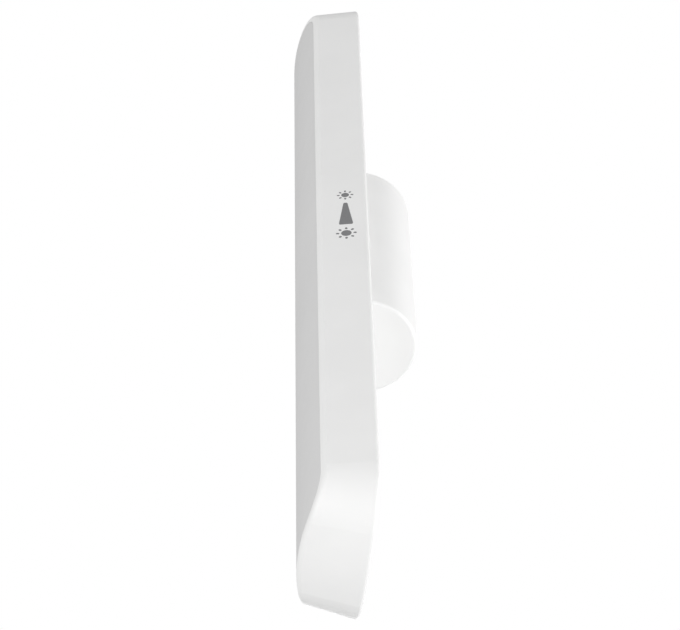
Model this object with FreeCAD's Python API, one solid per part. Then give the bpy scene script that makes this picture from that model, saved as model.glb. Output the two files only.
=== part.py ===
"""Rechargeable magnetic bar lamp with a half-round hub on its back.

The lamp is a shallow drafted tray, 270 mm long, closed in front by a crowned opal
diffuser.  Behind the middle of the tray sits a half-cylinder hub that holds the
battery cell and the magnets, and that the lamp turns on in its magnetic seat.

Frame: millimetres.  Z runs along the lamp, with the charging socket at the top end.
X runs across it.  Y is the thickness: the light leaves towards -Y and the hub stands
out towards +Y.  The origin is the centre of the hub's half circle, on the flat back.
"""

import FreeCAD
import Part
import math
import os

# Body, measured at the flat back.
LENGTH = 270.0
WIDTH = 49.0
CORNER = 15.5
END_RADIUS = 60.0      # radius of the slightly bowed end walls
DRAFT = 0.208          # inward lean of the side walls per millimetre of depth
CROWN_DEPTH = 18.3     # depth of the front along its centre line
CROWN_RADIUS = 54.0    # radius of the front face across the lamp
WALL = 2.5
BACK = 2.0
RIM = 2.0              # width of the white rim around the diffuser
REAR_ROUND = 1.0
FRONT_ROUND = 1.5
SHELL_GAP = 0.1

# Hub.
HUB_RADIUS = 16.2
HUB_LENGTH = 70.0
HUB_WALL = 1.8
HUB_ROUND = 1.1
HUB_SCREW_X = 11.9
HUB_SCREW_Z = 27.0
HUB_BOSS_TOP = 5.2

# Battery cell, size 18650, lying along the hub.
CELL_RADIUS = 9.2
CELL_LENGTH = 65.2
CELL_Y = 1.0

# Diffuser and light board.
DIFFUSER = 1.8
LIGHT_BOARD_Y = -9.6
LIGHT_BOARD_THICK = 1.2
LIGHT_BOARD_HALF = (16.0, 121.0)
LED_SIZE = (2.8, 0.8, 3.5)
LED_COLUMN_X = 7.0
LED_PITCH = 9.5
LED_ROWS = 24
LIGHT_BOSS_X = 13.4
LIGHT_BOSS_Z = (-112.0, -56.0, 56.0, 112.0)

# Control board and what it carries.
BOARD_Y = -5.0
BOARD_THICK = 1.0
BOARD_Z = (66.0, 131.0)
BOARD_HALF_X = 18.4
BOARD_BOSSES = ((-8.0, 70.0), (8.0, 70.0), (-8.5, 120.0), (8.5, 120.0))
SOCKET_SIZE = (8.94, 3.2, 7.4)
SOCKET_Y = -7.7
SOCKET_END_Z = 133.2

# Controls on the -X side wall.
CONTROL_Y = -7.4
BUTTON_Z = 98.0
BUTTON_LENGTH = 13.0
BUTTON_HEIGHT = 4.4
BUTTON_TRAVEL = 0.5
PLUNGER = 1.6          # length of the push switch's plunger
KNOB_Z = 78.0
KNOB_SIZE = (5.0, 2.4)
KNOB_TRAVEL = 2.0
RUN_GAP = 0.15
FLANGE_GAP = 0.65      # from the wall's mean inner face to a control's flange
FLANGE = 0.8


def vec(x, y, z):
    """A point or direction."""
    return FreeCAD.Vector(x, y, z)


def box(x, y, z):
    """A box between three (low, high) pairs."""
    size = (x[1] - x[0], y[1] - y[0], z[1] - z[0])
    return Part.makeBox(size[0], size[1], size[2], vec(x[0], y[0], z[0]))


def rod(radius, start, end):
    """A cylinder from one point to another."""
    axis = vec(*end) - vec(*start)
    return Part.makeCylinder(radius, axis.Length, vec(*start), axis)


def fused(shapes):
    """The shapes joined into one."""
    whole = shapes[0]
    for shape in shapes[1:]:
        whole = whole.fuse(shape)
    return whole.removeSplitter()


def cut_all(shape, tools):
    """The shape with each tool cut away."""
    for tool in tools:
        shape = shape.cut(tool)
    return shape


def outline(inset, depth):
    """The body's rounded outline at a depth, moved inwards by the inset and the draft.

    Each end is a flat arc, and a tighter arc joins it to each long side.
    """
    inward = inset + DRAFT * depth
    half_x = WIDTH / 2 - inward
    middle_x = WIDTH / 2 - CORNER
    end_z = LENGTH / 2 - END_RADIUS
    middle_z = end_z + math.sqrt((END_RADIUS - CORNER) ** 2 - middle_x ** 2)
    join = math.asin(middle_x / (END_RADIUS - CORNER))
    between = (join + math.pi / 2) / 2
    radius = CORNER - inward

    def corner(sign_x, sign_z, turn):
        return vec(sign_x * (middle_x + radius * math.sin(turn)), -depth,
                   sign_z * (middle_z + radius * math.cos(turn)))

    edges = []
    for sign_z in (1, -1):
        right, left = (sign_z, -sign_z)
        start = corner(right, sign_z, math.pi / 2)
        first = corner(right, sign_z, join)
        last = corner(left, sign_z, join)
        top = vec(0, -depth, sign_z * (LENGTH / 2 - inward))
        finish = corner(left, sign_z, math.pi / 2)
        edges.append(Part.Arc(start, corner(right, sign_z, between), first).toShape())
        edges.append(Part.Arc(first, top, last).toShape())
        edges.append(Part.Arc(last, corner(left, sign_z, between), finish).toShape())
        edges.append(Part.makeLine(finish, vec(-sign_z * half_x, -depth, -sign_z * middle_z)))
    return Part.Wire(edges)


def drafted_block(inset, depths):
    """The body's drafted outline between two depths."""
    return Part.makeLoft([outline(inset, depths[0]), outline(inset, depths[1])], True, True)


def crown(offset):
    """Everything behind the crowned front, moved inwards by the offset."""
    centre_y = CROWN_RADIUS - CROWN_DEPTH
    radius = CROWN_RADIUS - offset
    return rod(radius, (0, centre_y, -LENGTH), (0, centre_y, LENGTH))


def side_x(depth):
    """Half width of the body at a depth."""
    return WIDTH / 2 - DRAFT * depth


def control_x(inward):
    """X of a plane parallel to the -X wall's outer face at the height of the controls."""
    return inward - side_x(-CONTROL_Y)


def capsule(length, height, x, centre_y, centre_z):
    """A stadium-shaped bar along X: flat long sides, half-round ends."""
    radius = height / 2
    straight = length - height
    middle = box(x, (centre_y - radius, centre_y + radius),
                 (centre_z - straight / 2, centre_z + straight / 2))
    ends = [rod(radius, (x[0], centre_y, centre_z + side * straight / 2),
                (x[1], centre_y, centre_z + side * straight / 2)) for side in (-1, 1)]
    return fused([middle] + ends)


def pan_screw(radius, length, head_radius, head_height, head_at):
    """A screw along Y with its head at the -Y end and a cross recess in the head."""
    x, y, z = head_at
    shank = rod(radius, (x, y, z), (x, y + length, z))
    head = rod(head_radius, (x, y - head_height, z), (x, y, z))
    slots = [box((x - a, x + a), (y - head_height, y - head_height / 2), (z - b, z + b))
             for a, b in ((0.25, head_radius * 0.6), (head_radius * 0.6, 0.25))]
    return cut_all(fused([shank, head]), slots)


def body_outside():
    """The outside of the body with its front and rear edges rounded."""
    solid = drafted_block(0, (0, CROWN_DEPTH + 3)).common(crown(0))
    rear = [edge for edge in solid.Edges if edge.BoundBox.YMin > -0.01]
    solid = solid.makeFillet(REAR_ROUND, rear)
    front = [edge for edge in solid.Edges
             if edge.BoundBox.YMax < -10 and edge.BoundBox.DiagonalLength > 8]
    return solid.makeFillet(FRONT_ROUND, front)


def light_bosses(radius, low_y):
    """Posts that the light board stands on."""
    return [rod(radius, (side * LIGHT_BOSS_X, low_y, z), (side * LIGHT_BOSS_X, -BACK + 0.2, z))
            for z in LIGHT_BOSS_Z for side in (-1, 1)]


def board_bosses(radius, low_y):
    """Posts that the control board stands on."""
    return [rod(radius, (x, low_y, z), (x, -BACK + 0.2, z)) for x, z in BOARD_BOSSES]


def hub_screw_places():
    """X and Z of the four screws that hold the hub."""
    return [(side * HUB_SCREW_X, end * HUB_SCREW_Z) for side in (-1, 1) for end in (-1, 1)]


def socket_opening():
    """The slot for the charging plug in the top end wall."""
    slot = capsule(SOCKET_SIZE[0] + 0.5, SOCKET_SIZE[1] + 0.5, (-10, 10), 0, 0)
    slot.rotate(vec(0, 0, 0), vec(0, 1, 0), 90)
    slot.translate(vec(0, SOCKET_Y, 132))
    return slot


def make_rear_housing():
    """White tray: back, drafted side walls, rim, posts and the openings for the controls."""
    cavity = drafted_block(WALL, (BACK, CROWN_DEPTH + 4))
    rebate = drafted_block(RIM, (5, CROWN_DEPTH + 4)).cut(crown(DIFFUSER + SHELL_GAP))
    tray = body_outside().cut(cavity).cut(rebate)
    posts = light_bosses(2.6, LIGHT_BOARD_Y) + board_bosses(2.2, BOARD_Y)
    tray = fused([tray] + posts)
    holes = light_bosses(0.85, LIGHT_BOARD_Y - 1) + board_bosses(0.75, BOARD_Y - 1)
    holes.append(box((-10, 10), (-BACK - 1, 1), (-33.8, 33.8)))
    for x, z in hub_screw_places():
        holes.append(rod(1.4, (x, -BACK - 1, z), (x, 1, z)))
    outside = control_x(-3)
    inside = control_x(WALL + 2)
    holes.append(capsule(BUTTON_LENGTH + 2 * RUN_GAP, BUTTON_HEIGHT + 2 * RUN_GAP,
                         (outside, inside), CONTROL_Y, BUTTON_Z))
    holes.append(box((outside, inside), (CONTROL_Y - KNOB_SIZE[1] / 2 - RUN_GAP,
                                         CONTROL_Y + KNOB_SIZE[1] / 2 + RUN_GAP),
                     (KNOB_Z - KNOB_SIZE[0] / 2 - KNOB_TRAVEL - RUN_GAP,
                      KNOB_Z + KNOB_SIZE[0] / 2 + KNOB_TRAVEL + RUN_GAP)))
    holes.append(socket_opening())
    holes.append(rod(1.05, (8.6, SOCKET_Y, 126), (8.6, SOCKET_Y, 140)))
    return cut_all(tray, holes)


def make_diffuser():
    """Opal cover: a crowned plate with a skirt that snaps inside the tray."""
    plate = drafted_block(RIM + SHELL_GAP, (5, CROWN_DEPTH + 3)).common(crown(0))
    plate = plate.cut(crown(DIFFUSER))
    skirt = drafted_block(WALL + 0.15, (5, CROWN_DEPTH + 3))
    skirt = skirt.cut(drafted_block(WALL + 1.25, (4, CROWN_DEPTH + 4)))
    skirt = skirt.common(crown(DIFFUSER - 0.1)).cut(crown(DIFFUSER + 2.0))
    return fused([plate, skirt])


def half_round(radius, half_length):
    """A half cylinder along Z, on the +Y side of the back."""
    whole = rod(radius, (0, 0, -half_length), (0, 0, half_length))
    return whole.common(box((-30, 30), (0, 30), (-60, 60)))


def make_hub_shell():
    """Half-cylinder shell with closed, rounded ends and four screw posts."""
    outer = half_round(HUB_RADIUS, HUB_LENGTH / 2)
    arcs = [edge for edge in outer.Edges
            if edge.BoundBox.ZLength < 0.01 and edge.BoundBox.YLength > 5]
    outer = outer.makeFillet(HUB_ROUND, arcs)
    inner_length = HUB_LENGTH / 2 - HUB_WALL + 0.1
    inner = half_round(HUB_RADIUS - HUB_WALL, inner_length)
    shell = outer.cut(inner)
    room = half_round(HUB_RADIUS - HUB_WALL + 0.3, HUB_LENGTH / 2 - 1)
    posts = [rod(2.4, (x, 0, z), (x, HUB_BOSS_TOP, z)).common(room)
             for x, z in hub_screw_places()]
    holes = [rod(0.95, (x, -1, z), (x, HUB_BOSS_TOP - 0.4, z)) for x, z in hub_screw_places()]
    return cut_all(fused([shell] + posts), holes)


def arc_bar(inner, outer, first_degree, last_degree, half_length):
    """A bar along Z whose section is part of a ring about the hub's centre."""
    ring = rod(outer, (0, 0, -half_length), (0, 0, half_length))
    ring = ring.cut(rod(inner, (0, 0, -half_length - 1), (0, 0, half_length + 1)))
    reach = 4 * outer
    points = [vec(0, 0, -half_length - 1)]
    steps = 6
    for step in range(steps + 1):
        angle = math.radians(first_degree + (last_degree - first_degree) * step / steps)
        points.append(vec(reach * math.cos(angle), reach * math.sin(angle), -half_length - 1))
    points.append(points[0])
    wedge = Part.Face(Part.makePolygon(points)).extrude(vec(0, 0, 2 * half_length + 2))
    return ring.common(wedge)


def magnet_blocks(gap, outer_face):
    """Four magnet blocks under the hub's round face, with a gap all round."""
    blocks = []
    for lean in (-40, 40):
        for z in (-16.0, 16.0):
            block = box((-4.0 - gap, 4.0 + gap), (11.7 - gap, outer_face),
                        (z - 11 - gap, z + 11 + gap))
            block.rotate(vec(0, 0, 0), vec(0, 0, 1), lean)
            blocks.append(block)
    return blocks


def make_magnet_carrier():
    """Moulded saddle with an open pocket for each magnet."""
    saddle = arc_bar(11.6, HUB_RADIUS - HUB_WALL - 0.1, 29, 151, 31.5)
    return cut_all(saddle, magnet_blocks(0.08, HUB_RADIUS))


def make_magnet_yoke():
    """Curved steel plate that closes the magnets' circuit, next to the cell."""
    return arc_bar(10.75, 11.5, 29, 151, 31.5)


def make_battery_cradle():
    """Frame under the cell: a flange held by the hub screws, and two saddle ribs."""
    flange = box((-15.5, 15.5), (-BACK - 1.2, -BACK - 0.02), (-31, 31))
    ribs = [box((-12, 12), (LIGHT_BOARD_Y + 0.3, -BACK - 0.5), (z - 1.2, z + 1.2))
            for z in (-19.0, 19.0)]
    tools = [rod(CELL_RADIUS + 0.15, (0, CELL_Y, -40), (0, CELL_Y, 40))]
    for x, z in hub_screw_places():
        tools.append(rod(1.2, (x, -5, z), (x, 1, z)))
    return cut_all(fused([flange] + ribs), tools)


def make_battery_cell():
    """The lithium cell in its shrink sleeve, with the raised positive cap."""
    can = rod(CELL_RADIUS, (0, CELL_Y, -CELL_LENGTH / 2), (0, CELL_Y, CELL_LENGTH / 2 - 1.2))
    can = can.makeFillet(0.7, [edge for edge in can.Edges if edge.BoundBox.ZLength < 0.01])
    cap = rod(4.2, (0, CELL_Y, CELL_LENGTH / 2 - 1.6), (0, CELL_Y, CELL_LENGTH / 2))
    return fused([can, cap])


def make_battery_tabs():
    """Two flat nickel strips on the cell's ends, reaching towards the light board."""
    strips = []
    for end, shift in ((-1, CELL_LENGTH / 2), (1, CELL_LENGTH / 2)):
        flat = (end * (shift + 0.05), end * (shift + 0.25))
        strips.append(box((-3, 3), (-7.0, 3.0), (min(flat), max(flat))))
    return Part.makeCompound(strips)


def make_insulator_ring():
    """Paper ring around the positive cap."""
    low = CELL_LENGTH / 2 - 1.15
    ring = rod(8.2, (0, CELL_Y, low), (0, CELL_Y, low + 0.3))
    return ring.cut(rod(4.4, (0, CELL_Y, low - 1), (0, CELL_Y, low + 1)))


def light_board_holes(radius):
    """Holes for the light board's screws."""
    return [rod(radius, (side * LIGHT_BOSS_X, -20, z), (side * LIGHT_BOSS_X, 0, z))
            for z in LIGHT_BOSS_Z for side in (-1, 1)]


def make_light_board():
    """Aluminium-core board that the LEDs are soldered to."""
    half_x, half_z = LIGHT_BOARD_HALF
    board = box((-half_x, half_x), (LIGHT_BOARD_Y - LIGHT_BOARD_THICK, LIGHT_BOARD_Y),
                (-half_z, half_z))
    upright = [edge for edge in board.Edges if edge.BoundBox.YLength > 0.5
               and edge.BoundBox.XLength + edge.BoundBox.ZLength < 0.01]
    board = board.makeFillet(8.0, upright)
    return cut_all(board, light_board_holes(1.15))


def led_places(start):
    """Centres of every second LED in both columns, from a first row."""
    places = []
    for row in range(LED_ROWS):
        z = (row - (LED_ROWS - 1) / 2) * LED_PITCH
        for column, x in enumerate((-LED_COLUMN_X, LED_COLUMN_X)):
            if (row + column) % 2 == start:
                places.append((x, z))
    return places


def make_leds(start):
    """One colour of LED package: small blocks with a shallow round well each."""
    top = LIGHT_BOARD_Y - LIGHT_BOARD_THICK
    packages = []
    for x, z in led_places(start):
        block = box((x - LED_SIZE[0] / 2, x + LED_SIZE[0] / 2), (top - LED_SIZE[1], top),
                    (z - LED_SIZE[2] / 2, z + LED_SIZE[2] / 2))
        well = rod(1.15, (x, top - LED_SIZE[1], z), (x, top - LED_SIZE[1] + 0.3, z))
        packages.append(block.cut(well))
    return Part.makeCompound(packages)


def make_control_board():
    """Board with the charger, the dimmer and the switches."""
    flat = box((-BOARD_HALF_X, BOARD_HALF_X), (BOARD_Y - BOARD_THICK, BOARD_Y), BOARD_Z)
    flat = flat.common(drafted_block(WALL + 0.5, (BACK, CROWN_DEPTH)))
    tools = [rod(2.9, (side * LIGHT_BOSS_X, -12, 112), (side * LIGHT_BOSS_X, 0, 112))
             for side in (-1, 1)]
    tools += board_bosses(1.05, BOARD_Y - 3)
    return cut_all(flat, tools)


def on_board(x, z, size_x, size_z, height):
    """A block standing on the control board's front side."""
    top = BOARD_Y - BOARD_THICK
    return box((x - size_x / 2, x + size_x / 2), (top - height, top),
               (z - size_z / 2, z + size_z / 2))


def make_control_chips():
    """Charger, dimmer and protection circuits."""
    return Part.makeCompound([on_board(-2, 90, 5, 5, 1.0), on_board(6.5, 98, 4, 5, 1.0),
                              on_board(-1, 107, 6, 4, 1.2), on_board(6, 84, 3, 3, 0.9)])


def make_inductor():
    """Square power inductor with rounded corners."""
    block = on_board(0.5, 116, 6, 6, 2.6)
    upright = [edge for edge in block.Edges if edge.BoundBox.YLength > 1
               and edge.BoundBox.XLength + edge.BoundBox.ZLength < 0.01]
    return block.makeFillet(1.2, upright)


def make_capacitors():
    """Small ceramic capacitors and resistors in two rows."""
    chips = [on_board(x, 103, 1.0, 2.0, 0.8) for x in (-8, -6, -4)]
    chips += [on_board(x, 94, 1.0, 1.8, 0.6) for x in (2, 4, 6)]
    return Part.makeCompound(chips)


def make_socket_shell():
    """Drawn steel shell of the charging socket, open towards the top end."""
    outer = capsule(SOCKET_SIZE[0], SOCKET_SIZE[1], (-SOCKET_SIZE[2] / 2, SOCKET_SIZE[2] / 2), 0, 0)
    inner = capsule(SOCKET_SIZE[0] - 0.6, SOCKET_SIZE[1] - 0.6,
                    (-SOCKET_SIZE[2] / 2 + 0.8, SOCKET_SIZE[2]), 0, 0)
    shell = outer.cut(inner)
    shell.rotate(vec(0, 0, 0), vec(0, 1, 0), -90)
    shell.translate(vec(0, SOCKET_Y, SOCKET_END_Z - SOCKET_SIZE[2] / 2))
    return shell


def make_socket_tongue():
    """Contact tongue in the middle of the charging socket."""
    back = SOCKET_END_Z - SOCKET_SIZE[2] + 0.85
    return box((-3.3, 3.3), (SOCKET_Y - 0.35, SOCKET_Y + 0.35), (back, SOCKET_END_Z - 1.0))


def make_power_button():
    """Oval push button with a flange behind the wall."""
    flange_x = control_x(WALL + FLANGE_GAP)
    face_x = control_x(-0.6)
    cap = capsule(BUTTON_LENGTH, BUTTON_HEIGHT, (face_x, flange_x + 0.1), CONTROL_Y, BUTTON_Z)
    rim = [edge for edge in cap.Edges if edge.BoundBox.XMax < face_x + 0.01]
    cap = cap.makeFillet(0.45, rim)
    flange = box((flange_x, flange_x + FLANGE), (CONTROL_Y - 1.6, CONTROL_Y + 2.6),
                 (BUTTON_Z - 7.6, BUTTON_Z + 7.6))
    return fused([cap, flange])


def make_switch_plunger():
    """Plunger of the push switch: it travels with the button."""
    back_x = control_x(WALL + FLANGE_GAP + FLANGE)
    return box((back_x, back_x + PLUNGER), (CONTROL_Y - 0.6, CONTROL_Y + 0.6),
               (BUTTON_Z - 1.4, BUTTON_Z + 1.4))


def make_push_switch():
    """Right-angle push switch with a pocket for its plunger."""
    back_x = control_x(WALL + FLANGE_GAP + FLANGE)
    can = on_board(back_x + 2.55, BUTTON_Z, 3.7, 6.0, 3.0)
    pocket_x = back_x + PLUNGER + 2 * BUTTON_TRAVEL
    pocket = box((back_x, pocket_x), (CONTROL_Y - 0.7, CONTROL_Y + 0.7),
                 (BUTTON_Z - 1.5, BUTTON_Z + 1.5))
    return can.cut(pocket)


def make_mode_knob():
    """Knob of the light-colour switch, ribbed for a fingernail, with a wide inner shoe."""
    shoe_x = control_x(WALL + FLANGE_GAP)
    knob = box((control_x(-0.9), shoe_x + 0.1),
               (CONTROL_Y - KNOB_SIZE[1] / 2, CONTROL_Y + KNOB_SIZE[1] / 2),
               (KNOB_Z - KNOB_SIZE[0] / 2, KNOB_Z + KNOB_SIZE[0] / 2))
    shoe = box((shoe_x, shoe_x + FLANGE), (CONTROL_Y - 1.6, CONTROL_Y + 2.4),
               (KNOB_Z - 5.2, KNOB_Z + 5.2))
    grooves = [box((control_x(-2), control_x(-0.5)), (CONTROL_Y - 3, CONTROL_Y + 3),
                   (KNOB_Z + step * 1.25 - 0.3, KNOB_Z + step * 1.25 + 0.3))
               for step in (-1, 0, 1)]
    finger = box((shoe_x + FLANGE - 0.1, shoe_x + FLANGE + 2.0),
                 (CONTROL_Y - 0.6, CONTROL_Y + 0.6), (KNOB_Z - 0.8, KNOB_Z + 0.8))
    return cut_all(fused([knob, shoe, finger]), grooves)


def make_mode_switch():
    """Three-position slide switch with the slot that its finger runs in."""
    back_x = control_x(WALL + FLANGE_GAP + FLANGE)
    can = on_board(back_x + 2.2, KNOB_Z, 3.8, 9.2, 3.0)
    slot = box((back_x, back_x + 2.3), (CONTROL_Y - 0.75, CONTROL_Y + 0.75),
               (KNOB_Z - 3.1, KNOB_Z + 3.1))
    return can.cut(slot)


def make_light_pipe():
    """Clear pin that carries the charging light through the end wall."""
    return rod(0.95, (8.6, SOCKET_Y, 127.6), (8.6, SOCKET_Y, LENGTH / 2 - 2.2))


def make_charge_led():
    """Charging light on the control board, behind the clear pin."""
    return on_board(8.6, 126.4, 1.6, 1.6, 2.4)


def make_plug_socket():
    """White wire-to-board socket for the battery leads."""
    block = on_board(0, 70, 6, 5, 2.8)
    return block.cut(on_board(0, 69, 5, 4.4, 2.2).translated(vec(0, -0.3, -0.5)))


def make_wire(points, radius):
    """A round wire through a smooth line of points."""
    curve = Part.BSplineCurve()
    curve.interpolate([vec(*point) for point in points])
    path = Part.Wire([curve.toShape()])
    direction = curve.tangent(curve.FirstParameter)[0]
    circle = Part.Wire([Part.makeCircle(radius, vec(*points[0]), direction)])
    return path.makePipeShell([circle], True, False)


def make_wire_positive():
    """Red lead from the cell's positive end to the plug socket."""
    return make_wire([(1.2, -6.0, 33.6), (1.6, -5.6, 40.0), (1.4, -5.6, 54.0), (1.0, -7.0, 66.4)], 0.6)


def make_wire_negative():
    """Black lead that runs beside the cell from its negative end."""
    route = [(-1.0, -6.0, -33.6), (-5.0, -5.6, -39.0), (-13.4, -5.0, -36.0), (-14.2, -5.0, -20.0),
             (-14.2, -5.0, 20.0), (-12.0, -5.0, 40.0), (-4.0, -5.6, 56.0), (-1.2, -7.0, 66.4)]
    return make_wire(route, 0.6)


def make_light_wires():
    """Three leads from the control board to the back of the light board."""
    wires = []
    for x in (10.8, 12.3, 13.8):
        route = [(x, -6.6, 74.5), (x, -6.9, 71.5), (x, -8.4, 66.5), (x, -9.1, 63.0)]
        wires.append(make_wire(route, 0.45))
    return Part.makeCompound(wires)


def make_light_board_screws():
    """Screws through the light board into the housing's posts."""
    head_y = LIGHT_BOARD_Y - LIGHT_BOARD_THICK
    return Part.makeCompound([pan_screw(0.82, 6.0, 2.0, 1.2, (side * LIGHT_BOSS_X, head_y, z))
                              for z in LIGHT_BOSS_Z for side in (-1, 1)])


def make_board_screws():
    """Screws through the control board."""
    head_y = BOARD_Y - BOARD_THICK
    return Part.makeCompound([pan_screw(0.72, 3.6, 1.7, 1.0, (x, head_y, z))
                              for x, z in BOARD_BOSSES])


def make_hub_screws():
    """Screws through the cradle and the back into the hub's posts."""
    return Part.makeCompound([pan_screw(0.92, 7.6, 1.9, 1.2, (x, -BACK - 1.2, z))
                              for x, z in hub_screw_places()])


def main():
    """Write every piece to its own file."""
    pieces = {
        "rear_housing": make_rear_housing(),
        "diffuser": make_diffuser(),
        "hub_shell": make_hub_shell(),
        "hub_magnets": Part.makeCompound(magnet_blocks(0, 13.6)),
        "magnet_carrier": make_magnet_carrier(),
        "magnet_yoke": make_magnet_yoke(),
        "battery_cradle": make_battery_cradle(),
        "battery_cell": make_battery_cell(),
        "battery_tabs": make_battery_tabs(),
        "insulator_ring": make_insulator_ring(),
        "light_board": make_light_board(),
        "leds_warm": make_leds(0),
        "leds_cool": make_leds(1),
        "control_board": make_control_board(),
        "control_chips": make_control_chips(),
        "inductor": make_inductor(),
        "capacitors": make_capacitors(),
        "socket_shell": make_socket_shell(),
        "socket_tongue": make_socket_tongue(),
        "power_button": make_power_button(),
        "switch_plunger": make_switch_plunger(),
        "push_switch": make_push_switch(),
        "mode_knob": make_mode_knob(),
        "mode_switch": make_mode_switch(),
        "light_pipe": make_light_pipe(),
        "charge_led": make_charge_led(),
        "plug_socket": make_plug_socket(),
        "wire_positive": make_wire_positive(),
        "wire_negative": make_wire_negative(),
        "light_wires": make_light_wires(),
        "light_board_screws": make_light_board_screws(),
        "board_screws": make_board_screws(),
        "hub_screws": make_hub_screws(),
    }
    os.makedirs("parts", exist_ok=True)
    for name, shape in pieces.items():
        shape.exportStep("parts/" + name + ".step")


main()
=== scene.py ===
"""Rechargeable magnetic bar lamp: the looks of every piece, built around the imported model.

The lamp hangs upright.  Z runs along it, +Y goes out of its back through the hub, and
-Y is where the light leaves.  Lengths are in metres, and MM turns millimetres into them.
"""

import math

import bpy
import numpy as np
from mathutils import Matrix, Vector


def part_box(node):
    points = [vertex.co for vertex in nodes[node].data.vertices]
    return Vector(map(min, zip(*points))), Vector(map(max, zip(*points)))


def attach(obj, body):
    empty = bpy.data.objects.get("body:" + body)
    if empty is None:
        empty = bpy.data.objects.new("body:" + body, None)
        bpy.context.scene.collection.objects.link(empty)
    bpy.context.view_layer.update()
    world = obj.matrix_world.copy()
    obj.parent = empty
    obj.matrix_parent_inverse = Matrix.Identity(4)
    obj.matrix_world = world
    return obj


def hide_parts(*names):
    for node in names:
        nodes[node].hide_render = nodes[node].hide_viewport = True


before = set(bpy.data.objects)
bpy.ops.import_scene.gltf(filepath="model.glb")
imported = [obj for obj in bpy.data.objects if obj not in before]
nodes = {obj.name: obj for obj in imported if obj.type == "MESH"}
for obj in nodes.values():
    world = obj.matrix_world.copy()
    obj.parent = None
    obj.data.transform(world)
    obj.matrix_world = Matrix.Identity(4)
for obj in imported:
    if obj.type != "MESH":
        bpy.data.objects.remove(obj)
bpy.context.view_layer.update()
MM = 0.001


# ---------------------------------------------------------------------------
# Stage.  The lamp hangs clear of a pale floor, lit by a white room and six soft panels,
# and is seen from below and from its plain side through a long lens.
# ---------------------------------------------------------------------------

scene = bpy.context.scene
scene.view_settings.view_transform = "Standard"

ROOM_LIGHT = 0.55
world = bpy.data.worlds.new("white_room")
scene.world = world
world.use_nodes = True
room = world.node_tree
room_white = room.nodes["Background"]
room_white.inputs["Color"].default_value = (1.0, 1.0, 1.0, 1.0)
room_white.inputs["Strength"].default_value = ROOM_LIGHT
seen_white = room.nodes.new("ShaderNodeBackground")
seen_white.inputs["Strength"].default_value = 1.0
ray_kind = room.nodes.new("ShaderNodeLightPath")
room_mix = room.nodes.new("ShaderNodeMixShader")
room.links.new(ray_kind.outputs["Is Camera Ray"], room_mix.inputs["Fac"])
room.links.new(room_white.outputs["Background"], room_mix.inputs[1])
room.links.new(seen_white.outputs["Background"], room_mix.inputs[2])
room.links.new(room_mix.outputs["Shader"], room.nodes["World Output"].inputs["Surface"])

# The room looks white behind and above the lamp, and pale grey in other directions.
WALL_DIRECTION = (-0.56, 0.08, 0.82)
towards = room.nodes.new("ShaderNodeVectorMath")
towards.operation = "DOT_PRODUCT"
towards.inputs[1].default_value = WALL_DIRECTION
room.links.new(room.nodes.new("ShaderNodeTexCoord").outputs["Generated"], towards.inputs[0])
wall_edge = room.nodes.new("ShaderNodeValToRGB")
wall_edge.color_ramp.elements[0].position = 0.45
wall_edge.color_ramp.elements[0].color = (0.62, 0.63, 0.64, 1.0)
wall_edge.color_ramp.elements[1].position = 0.85
wall_edge.color_ramp.elements[1].color = (1.0, 1.0, 1.0, 1.0)
room.links.new(towards.outputs["Value"], wall_edge.inputs["Fac"])
room.links.new(wall_edge.outputs["Color"], seen_white.inputs["Color"])


def soft_light(name, place, watts, size):
    """A square panel of light at a place, turned towards the middle of the lamp."""
    panel = bpy.data.lights.new(name, "AREA")
    panel.shape = "SQUARE"
    panel.size = size
    panel.energy = watts
    lamp = bpy.data.objects.new(name, panel)
    lamp.matrix_world = (Matrix.Translation(place)
                         @ (-Vector(place)).to_track_quat("-Z", "Y").to_matrix().to_4x4())
    lamp.visible_camera = False
    scene.collection.objects.link(lamp)


soft_light("panel_right", (0.0, 1.0, 0.0), 4.9, 0.60)
soft_light("panel_low_right", (0.55, 0.60, -0.60), 3.0, 0.50)
soft_light("panel_low_front", (0.50, -0.70, -0.60), 2.9, 0.50)
soft_light("panel_below", (-0.40, 0.20, -1.0), 1.2, 0.60)
soft_light("panel_front", (0.30, -1.10, 0.0), 2.0, 0.40)
soft_light("panel_left", (-1.0, 0.15, 0.50), 1.8, 0.60)

CAMERA_PLACE = Vector((0.4270, -0.0700, -0.6432))
CAMERA_AIM = Vector((0.0, -0.0056, -0.0195))
CAMERA_ROLL = math.radians(-1.65)
camera_data = bpy.data.cameras.new("camera")
camera_data.sensor_width = 36.0
camera_data.lens = 138.3
camera_data.clip_start = 0.01
camera = bpy.data.objects.new("camera", camera_data)
camera_turn = (CAMERA_AIM - CAMERA_PLACE).to_track_quat("-Z", "Y").to_matrix()
camera_turn = camera_turn @ Matrix.Rotation(CAMERA_ROLL, 3, "Z")
camera.matrix_world = Matrix.Translation(CAMERA_PLACE) @ camera_turn.to_4x4()
scene.collection.objects.link(camera)
scene.camera = camera


def material_with(name):
    """A node material with its tree, its shader and an Object coordinate output."""
    material = bpy.data.materials.new(name)
    material.use_nodes = True
    tree = material.node_tree
    shader = tree.nodes["Principled BSDF"]
    place = tree.nodes.new("ShaderNodeTexCoord").outputs["Object"]
    return material, tree, shader, place


floor_grid = np.linspace(-25.0, 25.0, 2)
floor_points = [(x, y, -1.30) for y in floor_grid for x in floor_grid]
floor_mesh = bpy.data.meshes.new("floor")
floor_mesh.from_pydata(floor_points, [], [(0, 1, 3, 2)])
floor = bpy.data.objects.new("floor", floor_mesh)
scene.collection.objects.link(floor)
floor_paint, _, floor_shader, _ = material_with("floor_paint")
floor_shader.inputs["Base Color"].default_value = (0.92, 0.92, 0.92, 1.0)
floor_shader.inputs["Roughness"].default_value = 0.9
floor_mesh.materials.append(floor_paint)


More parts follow.
